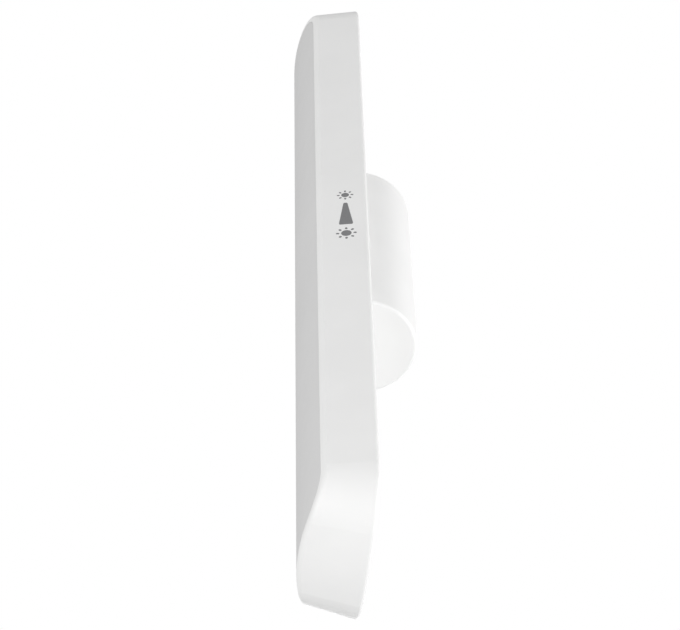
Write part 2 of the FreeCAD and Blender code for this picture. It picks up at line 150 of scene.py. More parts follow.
# ---------------------------------------------------------------------------
# Rear housing.  A deep tray of white ABS, injection moulded in one shot, with draft on
# its walls and a fine spark-eroded texture.  Everything else is fixed inside it.
# ---------------------------------------------------------------------------


def noise(tree, place, grain, detail=2.0, stretch=(1.0, 1.0, 1.0)):
    """A noise pattern whose grain is a size in metres, stretched along each axis."""
    mapping = tree.nodes.new("ShaderNodeMapping")
    mapping.inputs["Scale"].default_value = stretch
    pattern = tree.nodes.new("ShaderNodeTexNoise")
    pattern.inputs["Scale"].default_value = 1.0 / grain
    pattern.inputs["Detail"].default_value = detail
    tree.links.new(place, mapping.inputs["Vector"])
    tree.links.new(mapping.outputs["Vector"], pattern.inputs["Vector"])
    return pattern.outputs["Fac"]


def spread(tree, value, low, high, target):
    """Turns a pattern of 0.3 to 0.7 into a range of numbers on a socket."""
    span = tree.nodes.new("ShaderNodeMapRange")
    span.inputs["From Min"].default_value = 0.3
    span.inputs["From Max"].default_value = 0.7
    span.inputs["To Min"].default_value = low
    span.inputs["To Max"].default_value = high
    tree.links.new(value, span.inputs["Value"])
    tree.links.new(span.outputs["Result"], target)


def blend_colours(tree, value, first, second, target):
    """Mixes two colours by a pattern."""
    ramp = tree.nodes.new("ShaderNodeValToRGB")
    ramp.color_ramp.elements[0].position = 0.35
    ramp.color_ramp.elements[0].color = (*first, 1.0)
    ramp.color_ramp.elements[1].position = 0.65
    ramp.color_ramp.elements[1].color = (*second, 1.0)
    tree.links.new(value, ramp.inputs["Fac"])
    tree.links.new(ramp.outputs["Color"], target)


def relief(tree, shader, value, height):
    """Bumps the surface by a pattern, to a height in metres."""
    bump = tree.nodes.new("ShaderNodeBump")
    bump.inputs["Distance"].default_value = height
    tree.links.new(value, bump.inputs["Height"])
    tree.links.new(bump.outputs["Normal"], shader.inputs["Normal"])


def moulded(name, first, second, low, high, grain=0.25 * MM, height=0.004 * MM):
    """Moulded plastic: cloudy colour, uneven gloss and a fine eroded grain."""
    material, tree, shader, place = material_with(name)
    blend_colours(tree, noise(tree, place, 18 * MM), first, second, shader.inputs["Base Color"])
    spread(tree, noise(tree, place, 5 * MM, 3.0), low, high, shader.inputs["Roughness"])
    relief(tree, shader, noise(tree, place, grain, 3.0), height)
    return material


def dress(node, material):
    """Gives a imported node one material."""
    mesh = nodes[node].data
    mesh.materials.clear()
    mesh.materials.append(material)


white_abs = moulded("white_abs", (0.862, 0.862, 0.858), (0.880, 0.880, 0.876), 0.42, 0.52)
dress("rear_housing", white_abs)


# ---------------------------------------------------------------------------
# Diffuser.  A crowned cover of opal polycarbonate, 1.8 mm thick, satin outside.  Its
# skirt snaps into the tray, so only its front shows, inside the white rim.
# ---------------------------------------------------------------------------

opal, opal_tree, opal_shader, opal_place = material_with("opal_polycarbonate")
# The diffuser's grey is partly the opal's own milky tone and partly painted shade: its base colour
# is set darker so the front stays as dark as the shade it sits in.
blend_colours(opal_tree, noise(opal_tree, opal_place, 30 * MM), (0.672, 0.671, 0.670),
              (0.690, 0.689, 0.688), opal_shader.inputs["Base Color"])
spread(opal_tree, noise(opal_tree, opal_place, 6 * MM), 0.34, 0.42,
       opal_shader.inputs["Roughness"])
relief(opal_tree, opal_shader, noise(opal_tree, opal_place, 0.12 * MM, 2.0), 0.002 * MM)
dress("diffuser", opal)


# ---------------------------------------------------------------------------
# Hub.  A half-round white shell over the cell and the magnets, of the same ABS as the
# tray, screwed on from inside.  The lamp turns on it in its magnetic seat.
# ---------------------------------------------------------------------------

dress("hub_shell", white_abs)


# ---------------------------------------------------------------------------
# Side mark.  A pad-printed brightness scale in grey ink on the plain long wall: a small
# sun, a widening wedge and a large sun.  The ink is a few hundredths of a millimetre thick.
# ---------------------------------------------------------------------------

WALL_HALF_WIDTH = 24.5 * MM    # of the long walls, at the flat back
WALL_LEAN = 0.208              # inwards per unit of depth
INK_THICK = 0.03 * MM


def circle(radius, count=40, centre=(0.0, 0.0)):
    """A ring of points: the centre plus radius times (cos t, sin t)."""
    turn = np.linspace(0.0, 2.0 * np.pi, count, endpoint=False)
    return np.stack([centre[0] + radius * np.cos(turn), centre[1] + radius * np.sin(turn)], 1)


def stadium(half_length, half_width, middle, angle, count=12):
    """A bar with round ends: two half circles, joined, turned by an angle about the origin."""
    turn = np.linspace(-np.pi / 2, np.pi / 2, count)
    far = np.stack([half_length - half_width + half_width * np.cos(turn),
                    half_width * np.sin(turn)], 1)
    bar = np.concatenate([far, -far]) + (middle, 0.0)
    spin = np.array([[math.cos(angle), math.sin(angle)], [-math.sin(angle), math.cos(angle)]])
    return bar @ spin


def slab(outline, origin, across, along, thickness):
    """A flat plate: the outline laid on a plane and raised along its normal.

    Each point is origin + a * across + b * along, on two levels, with both faces closed.
    """
    outline = np.asarray(outline)
    a, b = outline.T
    if np.sum(a * np.roll(b, -1) - np.roll(a, -1) * b) < 0.0:
        outline = outline[::-1]    # anticlockwise seen from above, so faces look outwards
    up = np.cross(across, along)
    low = np.asarray(origin) + outline[:, :1] * across + outline[:, 1:] * along
    count = len(outline)
    first = np.arange(count)
    after = (first + 1) % count
    sides = np.stack([first, after, after + count, first + count], 1).tolist()
    faces = sides + [first[::-1].tolist(), (first + count).tolist()]
    return np.concatenate([low, low + thickness * up]), faces


def stroke(path, width, origin, across, along, thickness):
    """A drawn line of even width: the path moved both ways along its normal, as a plate."""
    path = np.asarray(path)
    run = np.gradient(path, axis=0)
    run /= np.linalg.norm(run, axis=1)[:, None]
    side = np.stack([-run[:, 1], run[:, 0]], 1) * width / 2
    return slab(np.concatenate([path - side, (path + side)[::-1]]),
                origin, across, along, thickness)


def ring_plate(inner, outer, centre, origin, across, along, thickness, count=40):
    """A flat washer: a square section carried round a circle."""
    turn = np.linspace(0.0, 2.0 * np.pi, count, endpoint=False)[:, None]
    radius = np.array([inner, outer, outer, inner])[None, :]
    level = np.array([0.0, 0.0, 1.0, 1.0])[None, :] * thickness
    a = centre[0] + radius * np.cos(turn)
    b = centre[1] + radius * np.sin(turn)
    up = np.cross(across, along)
    points = (np.asarray(origin) + a[..., None] * across + b[..., None] * along
              + (level + 0 * a)[..., None] * up)
    first = np.arange(count * 4).reshape(count, 4)
    after = np.roll(first, -1, axis=0)
    faces = np.stack([first, after, np.roll(after, -1, axis=1), np.roll(first, -1, axis=1)], -1)
    return points.reshape(-1, 3), faces.reshape(-1, 4).tolist()


def piece(name, shells, material, body, replaces=(), crease=35.0):
    """One object from several closed shells of points and faces, riding on a body."""
    points = np.concatenate([shell[0] for shell in shells])
    faces = []
    start = 0
    for shell_points, shell_faces in shells:
        faces += [[corner + start for corner in face] for face in shell_faces]
        start += len(shell_points)
    mesh = bpy.data.meshes.new(name)
    mesh.from_pydata(points.tolist(), [], faces)
    mesh.polygons.foreach_set("use_smooth", [True] * len(mesh.polygons))
    mesh.set_sharp_from_angle(angle=math.radians(crease))
    mesh.materials.append(material)
    made = bpy.data.objects.new(name, mesh)
    scene.collection.objects.link(made)
    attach(made, body)
    for node in replaces:
        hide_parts(node)
    return made


def sun(core, inner, outer, width, centre, plane):
    """A disc with eight round-ended rays."""
    shells = [slab(circle(core, centre=centre), *plane)]
    for step in range(8):
        ray = stadium((outer - inner) / 2, width / 2, (inner + outer) / 2, step * math.pi / 4)
        shells.append(slab(ray + centre, *plane))
    return shells


def wall_point(side, depth, z):
    """A point on a long wall's outside, and the wall's two directions, facing outwards."""
    tilt = np.array([WALL_LEAN, side, 0.0]) / math.hypot(WALL_LEAN, 1.0)
    origin = (side * (WALL_HALF_WIDTH - WALL_LEAN * depth), -depth, z)
    return origin, tilt, np.array([0.0, 0.0, 1.0])


def ink(name, colour):
    """Matt printing ink: nearly even colour, pinholed edges of the pad, no gloss."""
    material, tree, shader, place = material_with(name)
    darker = tuple(0.93 * value for value in colour)
    blend_colours(tree, noise(tree, place, 0.35 * MM, 4.0), darker, colour,
                  shader.inputs["Base Color"])
    spread(tree, noise(tree, place, 0.8 * MM), 0.55, 0.68, shader.inputs["Roughness"])
    relief(tree, shader, noise(tree, place, 0.08 * MM), 0.003 * MM)
    return material


grey_ink = ink("grey_ink", (0.215, 0.217, 0.222))
mark_plane = (*wall_point(1.0, 6.55 * MM, -1.0 * MM), INK_THICK)
wedge_half = np.array([[0.42, 5.9], [-0.42, 5.9], [-0.62, 5.5], [-2.05, -5.2], [-1.8, -5.7],
                       [1.8, -5.7], [2.05, -5.2], [0.62, 5.5]]) * MM
mark_shells = sun(1.15 * MM, 1.6 * MM, 2.45 * MM, 0.55 * MM, (0.0, 10.2 * MM), mark_plane)
mark_shells += [slab(wedge_half, *mark_plane)]
mark_shells += sun(1.5 * MM, 2.05 * MM, 3.0 * MM, 0.7 * MM, (0.0, -10.4 * MM), mark_plane)
piece("side_mark", mark_shells, grey_ink, "lamp")


# ---------------------------------------------------------------------------
# Power button.  An oval push button of satin light-grey ABS, 13 by 4.4 mm, in a slot of
# the other long wall.  Its sign is printed on the face and travels with it.
# ---------------------------------------------------------------------------

satin_grey = moulded("satin_grey_abs", (0.70, 0.70, 0.70), (0.73, 0.73, 0.73), 0.36, 0.44,
                     0.12 * MM, 0.002 * MM)
dress("power_button", satin_grey)
CONTROL_DEPTH = 7.4 * MM
button_low, button_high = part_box("power_button")
button_plane = ((button_low.x, -CONTROL_DEPTH, (button_low.z + button_high.z) / 2),
                np.array([0.0, -1.0, 0.0]), np.array([0.0, 0.0, 1.0]), INK_THICK)
open_turn = np.radians(np.linspace(90 + 38, 450 - 38, 40))
power_ring = 1.2 * MM * np.stack([np.cos(open_turn), np.sin(open_turn)], 1)
power_bar = np.array([[0.0, 0.35], [0.0, 0.9], [0.0, 1.55]]) * MM
piece("button_sign", [stroke(power_ring, 0.26 * MM, *button_plane),
                      stroke(power_bar, 0.26 * MM, *button_plane)],
      grey_ink, "power_button")


# ---------------------------------------------------------------------------
# Mode knob.  A ribbed slider of the same satin ABS that chooses warm, mixed or cool
# light.  Three printed signs stand beside it: a filled disc, a ringed dot and a ring.
# ---------------------------------------------------------------------------

dress("mode_knob", satin_grey)
knob_low, knob_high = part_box("mode_knob")
knob_z = (knob_low.z + knob_high.z) / 2
sign_plane = (*wall_point(-1.0, 11.2 * MM, knob_z), INK_THICK)
KNOB_STEP = 2.0 * MM
mode_shells = [slab(circle(0.55 * MM, 28, (0.0, -KNOB_STEP)), *sign_plane),
               slab(circle(0.22 * MM, 20), *sign_plane),
               ring_plate(0.42 * MM, 0.58 * MM, (0.0, 0.0), *sign_plane),
               ring_plate(0.42 * MM, 0.58 * MM, (0.0, KNOB_STEP), *sign_plane)]
piece("mode_signs", mode_shells, grey_ink, "lamp")


# ---------------------------------------------------------------------------
# Charging socket.  A drawn and folded stainless shell with a moulded tongue, which
# carries a row of gold-plated contacts on each side.  It is soldered to the board.
# ---------------------------------------------------------------------------


def metal(name, first, second, low, high, grain, stretch=(1.0, 1.0, 1.0), height=0.002 * MM):
    """Metal: a faint change of tone, and scratches or drawing marks in its gloss."""
    material, tree, shader, place = material_with(name)
    shader.inputs["Metallic"].default_value = 1.0
    marks = noise(tree, place, grain, 4.0, stretch)
    blend_colours(tree, noise(tree, place, 6 * MM), first, second, shader.inputs["Base Color"])
    spread(tree, marks, low, high, shader.inputs["Roughness"])
    relief(tree, shader, marks, height)
    return material


drawn_steel = metal("drawn_stainless", (0.60, 0.61, 0.62), (0.68, 0.69, 0.70), 0.22, 0.36,
                    0.3 * MM, (6.0, 6.0, 0.6))
black_nylon = moulded("glass_filled_nylon", (0.014, 0.014, 0.015), (0.030, 0.030, 0.031),
                      0.42, 0.60, 0.10 * MM, 0.006 * MM)
gold_plate = metal("gold_plate", (0.80, 0.58, 0.24), (0.86, 0.66, 0.32), 0.18, 0.28, 0.1 * MM)
dress("socket_shell", drawn_steel)
dress("socket_tongue", black_nylon)
tongue_low, tongue_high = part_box("socket_tongue")
CONTACT_PITCH = 0.5 * MM
CONTACT_HALF = np.array([[0.0, 0.125], [1.9, 0.125], [2.0, 0.08], [2.0, -0.08], [1.9, -0.125],
                         [0.0, -0.125]]) * MM
contact_shells = []
for side, level in ((-1.0, tongue_low.y), (1.0, tongue_high.y)):
    for column in range(12):
        contact_x = (column - 5.5) * CONTACT_PITCH
        start_point = (contact_x, level, tongue_high.z - 2.6 * MM)
        contact_shells.append(slab(CONTACT_HALF, start_point, np.array([0.0, 0.0, 1.0]),
                                   np.array([side, 0.0, 0.0]), 0.03 * MM))
piece("socket_contacts", contact_shells, gold_plate, "lamp")


# ---------------------------------------------------------------------------
# Charging light.  A clear acrylic pin carries the light of a small red LED through the
# end wall, with a battery sign printed beside it.
# ---------------------------------------------------------------------------

clear_acrylic, clear_tree, clear_shader, clear_place = material_with("clear_acrylic")
clear_shader.inputs["Base Color"].default_value = (0.93, 0.95, 0.95, 1.0)
clear_shader.inputs["Transmission Weight"].default_value = 0.9
clear_shader.inputs["IOR"].default_value = 1.49
spread(clear_tree, noise(clear_tree, clear_place, 0.4 * MM), 0.05, 0.14,
       clear_shader.inputs["Roughness"])
dress("light_pipe", clear_acrylic)
dress("charge_led", moulded("red_led_epoxy", (0.52, 0.03, 0.02), (0.62, 0.05, 0.03),
                            0.15, 0.25, 0.3 * MM, 0.001 * MM))


def rounded(half_a, half_b, radius, centre=(0.0, 0.0), count=6):
    """A rectangle with round corners: four quarter circles, joined."""
    turn = np.linspace(0.0, np.pi / 2, count)
    corner = radius * np.stack([np.cos(turn), np.sin(turn)], 1)
    quarter = corner + (half_a - radius, half_b - radius)
    spins = [np.array([[1, 0], [0, 1]]), np.array([[0, 1], [-1, 0]]),
             np.array([[-1, 0], [0, -1]]), np.array([[0, -1], [1, 0]])]
    swapped = corner + (half_b - radius, half_a - radius)
    return np.concatenate([quarter @ spins[0], swapped @ spins[1], quarter @ spins[2],
                           swapped @ spins[3]]) + centre


LAMP_HALF_LENGTH = 135.0 * MM
END_RADIUS = 60.0 * MM         # of the bowed end walls, at the flat back


def end_point(x, depth):
    """A point on the top end wall, which is bowed and drafted, and its two directions.

    The wall is a circle about Y whose radius shrinks by the draft as the depth grows.
    """
    radius = END_RADIUS - WALL_LEAN * depth
    turn = math.asin(x / radius)
    place_z = LAMP_HALF_LENGTH - END_RADIUS + radius * math.cos(turn)
    across = np.array([math.cos(turn), 0.0, -math.sin(turn)])
    out = np.array([math.sin(turn), -WALL_LEAN, math.cos(turn)])
    out /= np.linalg.norm(out)
    return np.array([x, -depth, place_z]) + 0.02 * MM * out, across, np.cross(out, across)


battery_plane = (*end_point(8.6 * MM, 11.4 * MM), INK_THICK)
battery_outline = rounded(1.45 * MM, 0.80 * MM, 0.25 * MM)
battery_inside = rounded(1.27 * MM, 0.62 * MM, 0.12 * MM)
battery_shells = []
for corner in range(len(battery_outline)):
    edge = [corner, (corner + 1) % len(battery_outline)]
    wall = np.concatenate([battery_outline[edge], battery_inside[edge[::-1]]])
    battery_shells.append(slab(wall, *battery_plane))
nub = np.array([[1.5, -0.28], [1.75, -0.28], [1.75, 0.28], [1.5, 0.28]]) * MM
bolt = np.array([[-0.62, -0.06], [0.08, -0.40], [-0.06, -0.10], [0.62, 0.06], [-0.08, 0.40],
                 [0.06, 0.10]]) * MM
battery_shells += [slab(nub, *battery_plane), slab(bolt, *battery_plane)]
piece("battery_sign", battery_shells, grey_ink, "lamp")


# ---------------------------------------------------------------------------
# Light board.  An aluminium-core strip with white solder mask.  Tinned pads take the
# three leads, and eight pan-head screws clamp it to the tray's posts.
# ---------------------------------------------------------------------------

white_mask, mask_tree, mask_shader, mask_place = material_with("white_solder_mask")
blend_colours(mask_tree, noise(mask_tree, mask_place, 9 * MM, 3.0), (0.78, 0.79, 0.78),
              (0.82, 0.83, 0.82), mask_shader.inputs["Base Color"])
spread(mask_tree, noise(mask_tree, mask_place, 1.5 * MM), 0.26, 0.36,
       mask_shader.inputs["Roughness"])
relief(mask_tree, mask_shader, noise(mask_tree, mask_place, 0.5 * MM), 0.003 * MM)
dress("light_board", white_mask)
tin = metal("tin_solder", (0.62, 0.62, 0.60), (0.72, 0.72, 0.70), 0.24, 0.40, 0.25 * MM)
board_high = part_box("light_board")[1]


def facing_front(x, y, z):
    """A plane that faces -Y: where a piece lies on a board's front side."""
    return (x, y, z), np.array([1.0, 0.0, 0.0]), np.array([0.0, 0.0, 1.0])


def facing_back(x, y, z):
    """A plane that faces +Y."""
    return (x, y, z), np.array([-1.0, 0.0, 0.0]), np.array([0.0, 0.0, 1.0])


LEAD_X = (10.8 * MM, 12.3 * MM, 13.8 * MM)
LEAD_END_Z = 63.0 * MM
lead_pads = [slab(rounded(0.6 * MM, 1.3 * MM, 0.3 * MM), *facing_back(x, board_high.y, LEAD_END_Z),
                  0.05 * MM) for x in LEAD_X]
piece("light_board_pads", lead_pads, tin, "lamp")


# ---------------------------------------------------------------------------
# LEDs.  Surface-mounted packages, 2.8 by 3.5 mm: a white body with a round well, a domed
# fill of phosphor silicone (deep yellow is warm, pale yellow is cool) and two terminals.
# ---------------------------------------------------------------------------

LED_COLUMN_X = 7.0 * MM
LED_PITCH = 9.5 * MM
LED_ROWS = 24
WELL_RADIUS = 1.15 * MM
WELL_DEPTH = 0.3 * MM
led_white = moulded("led_body_white", (0.84, 0.84, 0.82), (0.88, 0.88, 0.86), 0.3, 0.4,
                    0.3 * MM, 0.002 * MM)
led_low, led_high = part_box("leds_warm")


def shell_of_rings(rings):
    """A closed shell from rings of points along an axis, each end fanned to its middle.

    rings[i, j] is the point of ring i at turn j, anticlockwise seen from the far end.
    """
    rows, around = rings.shape[:2]
    index = np.arange(rows * around).reshape(rows, around)
    after = np.roll(index, -1, axis=1)
    quads = np.stack([index[:-1], after[:-1], after[1:], index[1:]], -1).reshape(-1, 4)
    points = np.concatenate([rings.reshape(-1, 3), rings[:1].mean(1), rings[-1:].mean(1)])
    first_end = [[rows * around, int(b), int(a)] for a, b in zip(index[0], after[0])]
    last_end = [[rows * around + 1, int(a), int(b)] for a, b in zip(index[-1], after[-1])]
    return points, quads.tolist() + first_end + last_end


def turned(radii, heights, place, around=32):
    """A turned shape facing -Y: each ring has a radius and a height above its place."""
    turn = np.linspace(0.0, 2.0 * np.pi, around, endpoint=False)
    radii, heights = np.asarray(radii)[:, None], np.asarray(heights)[:, None]
    x = place[0] + radii * np.cos(turn)
    z = place[2] + radii * np.sin(turn)
    return shell_of_rings(np.stack([x, place[1] - heights + 0 * x, z], -1))


def led_places(start):
    """Centres of every second LED of both columns."""
    row, column = np.meshgrid(np.arange(LED_ROWS), np.arange(2), indexing="ij")
    chosen = (row + column) % 2 == start
    z = (row[chosen] - (LED_ROWS - 1) / 2) * LED_PITCH
    return zip((column[chosen] * 2 - 1) * LED_COLUMN_X, z)


def phosphor(name, first, second):
    """Silicone filled with phosphor grains: rubbery gloss and a granular colour."""
    material, tree, shader, place = material_with(name)
    blend_colours(tree, noise(tree, place, 0.06 * MM, 3.0), first, second,
                  shader.inputs["Base Color"])
    spread(tree, noise(tree, place, 0.4 * MM), 0.22, 0.34, shader.inputs["Roughness"])
    shader.inputs["Subsurface Weight"].default_value = 0.2
    shader.inputs["Subsurface Radius"].default_value = (0.0006, 0.0004, 0.0002)
    return material


FILL_HEIGHTS = np.array([0.02, 0.20, 0.245, 0.272, 0.285]) * MM
FILL_RADII = np.array([0.98, 0.98, 0.72, 0.40, 0.12]) * WELL_RADIUS
TERMINAL = rounded(0.95 * MM, 0.34 * MM, 0.1 * MM, count=3)
for start, node, fill_material in (
        (0, "leds_warm", phosphor("warm_phosphor", (0.80, 0.47, 0.08), (0.90, 0.58, 0.14))),
        (1, "leds_cool", phosphor("cool_phosphor", (0.86, 0.78, 0.22), (0.93, 0.86, 0.34)))):
    dress(node, led_white)
    kind = node.split("_")[1]
    fills = [turned(FILL_RADII, FILL_HEIGHTS, (x, led_low.y + WELL_DEPTH, z), 20)
             for x, z in led_places(start)]
    piece("phosphor_" + kind, fills, fill_material, "lamp")
    terminals = [slab(TERMINAL, *facing_front(x, led_high.y, z + end * 1.95 * MM), 0.16 * MM)
                 for x, z in led_places(start) for end in (-1.0, 1.0)]
    piece("terminals_" + kind, terminals, tin, "lamp")


# ---------------------------------------------------------------------------
# Control board.  Glass laminate with green solder mask over its copper tracks.  It holds
# the charger, the dimmer, the switches and the sockets, and a printed frame round each.
# ---------------------------------------------------------------------------

green_mask, green_tree, green_shader, green_place = material_with("green_solder_mask")
patches = green_tree.nodes.new("ShaderNodeTexVoronoi")
patches.distance = "CHEBYCHEV"
patches.inputs["Scale"].default_value = 1.0 / (8.0 * MM)
green_tree.links.new(green_place, patches.inputs["Vector"])
patch_kind = green_tree.nodes.new("ShaderNodeSeparateColor")
green_tree.links.new(patches.outputs["Color"], patch_kind.inputs["Color"])
bands = []
for direction, pitch in (("X", 1.5 * MM), ("Z", 1.1 * MM)):
    band = green_tree.nodes.new("ShaderNodeTexWave")
    band.bands_direction = direction
    band.inputs["Scale"].default_value = math.pi / (10.0 * pitch)
    green_tree.links.new(green_place, band.inputs["Vector"])
    bands.append(band.outputs["Fac"])
track_side = green_tree.nodes.new("ShaderNodeMath")
track_side.operation = "GREATER_THAN"
track_side.inputs[1].default_value = 0.5
green_tree.links.new(patch_kind.outputs["Red"], track_side.inputs[0])
tracks = green_tree.nodes.new("ShaderNodeMix")
green_tree.links.new(track_side.outputs["Value"], tracks.inputs["Factor"])
green_tree.links.new(bands[0], tracks.inputs["A"])
green_tree.links.new(bands[1], tracks.inputs["B"])
track_edge = green_tree.nodes.new("ShaderNodeValToRGB")
track_edge.color_ramp.elements[0].position = 0.60
track_edge.color_ramp.elements[0].color = (0.014, 0.125, 0.050, 1.0)
track_edge.color_ramp.elements[1].position = 0.68
track_edge.color_ramp.elements[1].color = (0.030, 0.210, 0.090, 1.0)
green_tree.links.new(tracks.outputs["Result"], track_edge.inputs["Fac"])
green_tree.links.new(track_edge.outputs["Color"], green_shader.inputs["Base Color"])
spread(green_tree, noise(green_tree, green_place, 1.2 * MM), 0.18, 0.30,
       green_shader.inputs["Roughness"])
relief(green_tree, green_shader, track_edge.outputs["Color"], 0.02 * MM)
dress("control_board", green_mask)

black_epoxy = moulded("black_epoxy", (0.018, 0.018, 0.019), (0.030, 0.030, 0.031), 0.42, 0.55,
                      0.06 * MM, 0.004 * MM)
dress("control_chips", black_epoxy)
dress("push_switch", black_nylon)
dress("mode_switch", black_nylon)
dress("switch_plunger", moulded("plunger_nylon", (0.50, 0.49, 0.45), (0.56, 0.55, 0.50), 0.35,
                                0.45, 0.1 * MM, 0.002 * MM))
dress("capacitors", moulded("capacitor_ceramic", (0.36, 0.25, 0.15), (0.44, 0.31, 0.19),
                            0.35, 0.5, 0.08 * MM, 0.003 * MM))
dress("inductor", moulded("ferrite_resin", (0.050, 0.050, 0.053), (0.085, 0.085, 0.090),
                          0.5, 0.7, 0.12 * MM, 0.012 * MM))

circuit_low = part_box("control_board")[0]
# Each chip's x, z, width, length and height, in millimetres.
CHIPS = ((-2.0, 90.0, 5.0, 5.0, 1.0), (6.5, 98.0, 4.0, 5.0, 1.0), (-1.0, 107.0, 6.0, 4.0, 1.2),
         (6.0, 84.0, 3.0, 3.0, 0.9))
LEG_PITCH = 0.95
LEG_PROFILE = np.array([[-0.15, 0.45], [0.35, 0.45], [0.55, 0.12], [0.95, 0.12], [0.95, 0.0],
                        [0.47, 0.0], [0.27, 0.33], [-0.15, 0.33]]) * MM
leg_shells = []
for chip_x, chip_z, chip_width, chip_length, _ in CHIPS:
    count = int(chip_length / LEG_PITCH)
    for side in (-1.0, 1.0):
        for number in range(count):
            leg_z = chip_z + (number - (count - 1) / 2) * LEG_PITCH - side * 0.18
            edge_x = chip_x + side * chip_width / 2
            leg_shells.append(slab(LEG_PROFILE, (edge_x * MM, circuit_low.y, leg_z * MM),
                                   np.array([side, 0.0, 0.0]), np.array([0.0, -1.0, 0.0]),
                                   0.36 * MM))
piece("chip_legs", leg_shells, tin, "lamp")

chip_dots = []
for chip_x, chip_z, chip_width, chip_length, chip_height in CHIPS:
    dot_place = ((chip_x - chip_width / 2 + 0.7) * MM, circuit_low.y - chip_height * MM,
                 (chip_z + chip_length / 2 - 0.7) * MM)
    chip_dots.append(slab(circle(0.25 * MM, 16), *facing_front(*dot_place), 0.02 * MM))
white_ink = ink("white_ink", (0.80, 0.80, 0.78))
piece("chip_dots", chip_dots, white_ink, "lamp")


def frame_lines(x, z, width, length):
    """A printed line round a part with round corners, on the control board's front side."""
    path = rounded(width / 2 * MM, length / 2 * MM, 0.25 * MM, count=3)
    edge = np.concatenate([path, path[:1]])
    inner = edge - 0.12 * MM * np.sign(edge)
    lines = []
    for corner in range(len(path)):
        run = np.array([edge[corner], edge[corner + 1], inner[corner + 1], inner[corner]])
        lines.append(slab(run, *facing_front(x * MM, circuit_low.y, z * MM), 0.02 * MM))
    return lines


frames = []
for chip_x, chip_z, chip_width, chip_length, _ in CHIPS:
    frames += frame_lines(chip_x, chip_z, chip_width + 2.4, chip_length + 0.6)
frames += frame_lines(0.5, 116.0, 8.2, 7.2)
frames += frame_lines(-6.0, 103.0, 7.0, 3.4)
frames += frame_lines(4.0, 94.0, 7.0, 3.2)
piece("printed_frames", frames, white_ink, "lamp")

SMALL_PARTS = ([(x, 103.0, 1.0, 2.0, 0.8) for x in (-8.0, -6.0, -4.0)]
               + [(x, 94.0, 1.0, 1.8, 0.6) for x in (2.0, 4.0, 6.0)])
end_caps = []
for part_x, part_z, part_width, part_length, part_height in SMALL_PARTS:
    for end in (-1.0, 1.0):
        cap_z = part_z + end * (part_length / 2 - 0.17)
        cap_outline = rounded((part_width / 2 + 0.03) * MM, 0.22 * MM, 0.05 * MM, count=3)
        end_caps.append(slab(cap_outline, *facing_front(part_x * MM, circuit_low.y, cap_z * MM),
                             (part_height + 0.03) * MM))
        pad_z = part_z + end * (part_length / 2 + 0.25)
        fillet = rounded((part_width / 2) * MM, 0.30 * MM, 0.1 * MM, count=3)
        end_caps.append(slab(fillet, *facing_front(part_x * MM, circuit_low.y, pad_z * MM),
                             0.18 * MM))
piece("part_terminals", end_caps, tin, "lamp")

COIL_PITCH = 0.26 * MM
coil_plane = (*facing_front(0.5 * MM, circuit_low.y - 2.6 * MM, 116.0 * MM), 0.10 * MM)
coil_rings = [ring_plate(1.05 * MM + winding * COIL_PITCH, 1.27 * MM + winding * COIL_PITCH,
                         (0.0, 0.0), *coil_plane) for winding in range(5)]
copper = metal("enamelled_copper", (0.60, 0.24, 0.10), (0.72, 0.32, 0.15), 0.25, 0.4, 0.2 * MM)
piece("inductor_winding", coil_rings, copper, "lamp")


# ---------------------------------------------------------------------------
# Cell.  A size 18650 lithium cell in a blue shrink sleeve that is drawn in over both
# ends of its steel can, with a raised cap and a paper ring at the positive end.
# ---------------------------------------------------------------------------

cell_low, cell_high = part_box("battery_cell")
CELL_Y = (cell_low.y + cell_high.y) / 2
CELL_RADIUS = (cell_high.x - cell_low.x) / 2
CELL_TURNS = 96


def upright(radii, heights, centre_y, around=CELL_TURNS):
    """A turned shape about an upright axis: rings of a radius at heights along Z."""
    turn = np.linspace(0.0, 2.0 * np.pi, around, endpoint=False)
    radii = np.asarray(radii)
    if radii.ndim == 1:
        radii = radii[:, None] + 0.0 * turn
    z = np.asarray(heights)[:, None] + 0.0 * turn
    return shell_of_rings(np.stack([radii * np.cos(turn), centre_y + radii * np.sin(turn), z], -1))


sleeve_turn = np.linspace(0.0, 2.0 * np.pi, CELL_TURNS, endpoint=False)
sleeve_low = np.array([0.0, 0.0, 0.06, 0.25, 0.6, 1.1, 2.0])
sleeve_radius = np.array([7.3, 8.1, 8.62, 8.95, 9.12, 9.18, 9.19])
shell_height = (cell_high.z - cell_low.z) / MM - 1.2
heights_up = np.concatenate([sleeve_low, np.linspace(4.0, shell_height - 4.0, 24),
                             shell_height - sleeve_low[::-1]])
radii_up = np.concatenate([sleeve_radius, np.full(24, 9.19), sleeve_radius[::-1]])
end_distance = np.minimum(heights_up, shell_height - heights_up)
pucker = 0.05 * np.exp(-end_distance / 0.8)[:, None] * np.cos(22 * sleeve_turn)[None, :]
seam = -0.03 * np.exp(-((sleeve_turn - np.pi) / 0.04) ** 2)[None, :]
sleeve_rings = np.minimum((radii_up[:, None] + pucker - 0.05 + seam) * MM, CELL_RADIUS)
sleeve_paint = moulded("blue_shrink_sleeve", (0.020, 0.120, 0.350), (0.026, 0.145, 0.400), 0.16,
                       0.28, 0.6 * MM, 0.010 * MM)
piece("cell_sleeve", [upright(sleeve_rings, cell_low.z + heights_up * MM, CELL_Y)],
      sleeve_paint, "lamp", ("battery_cell",))

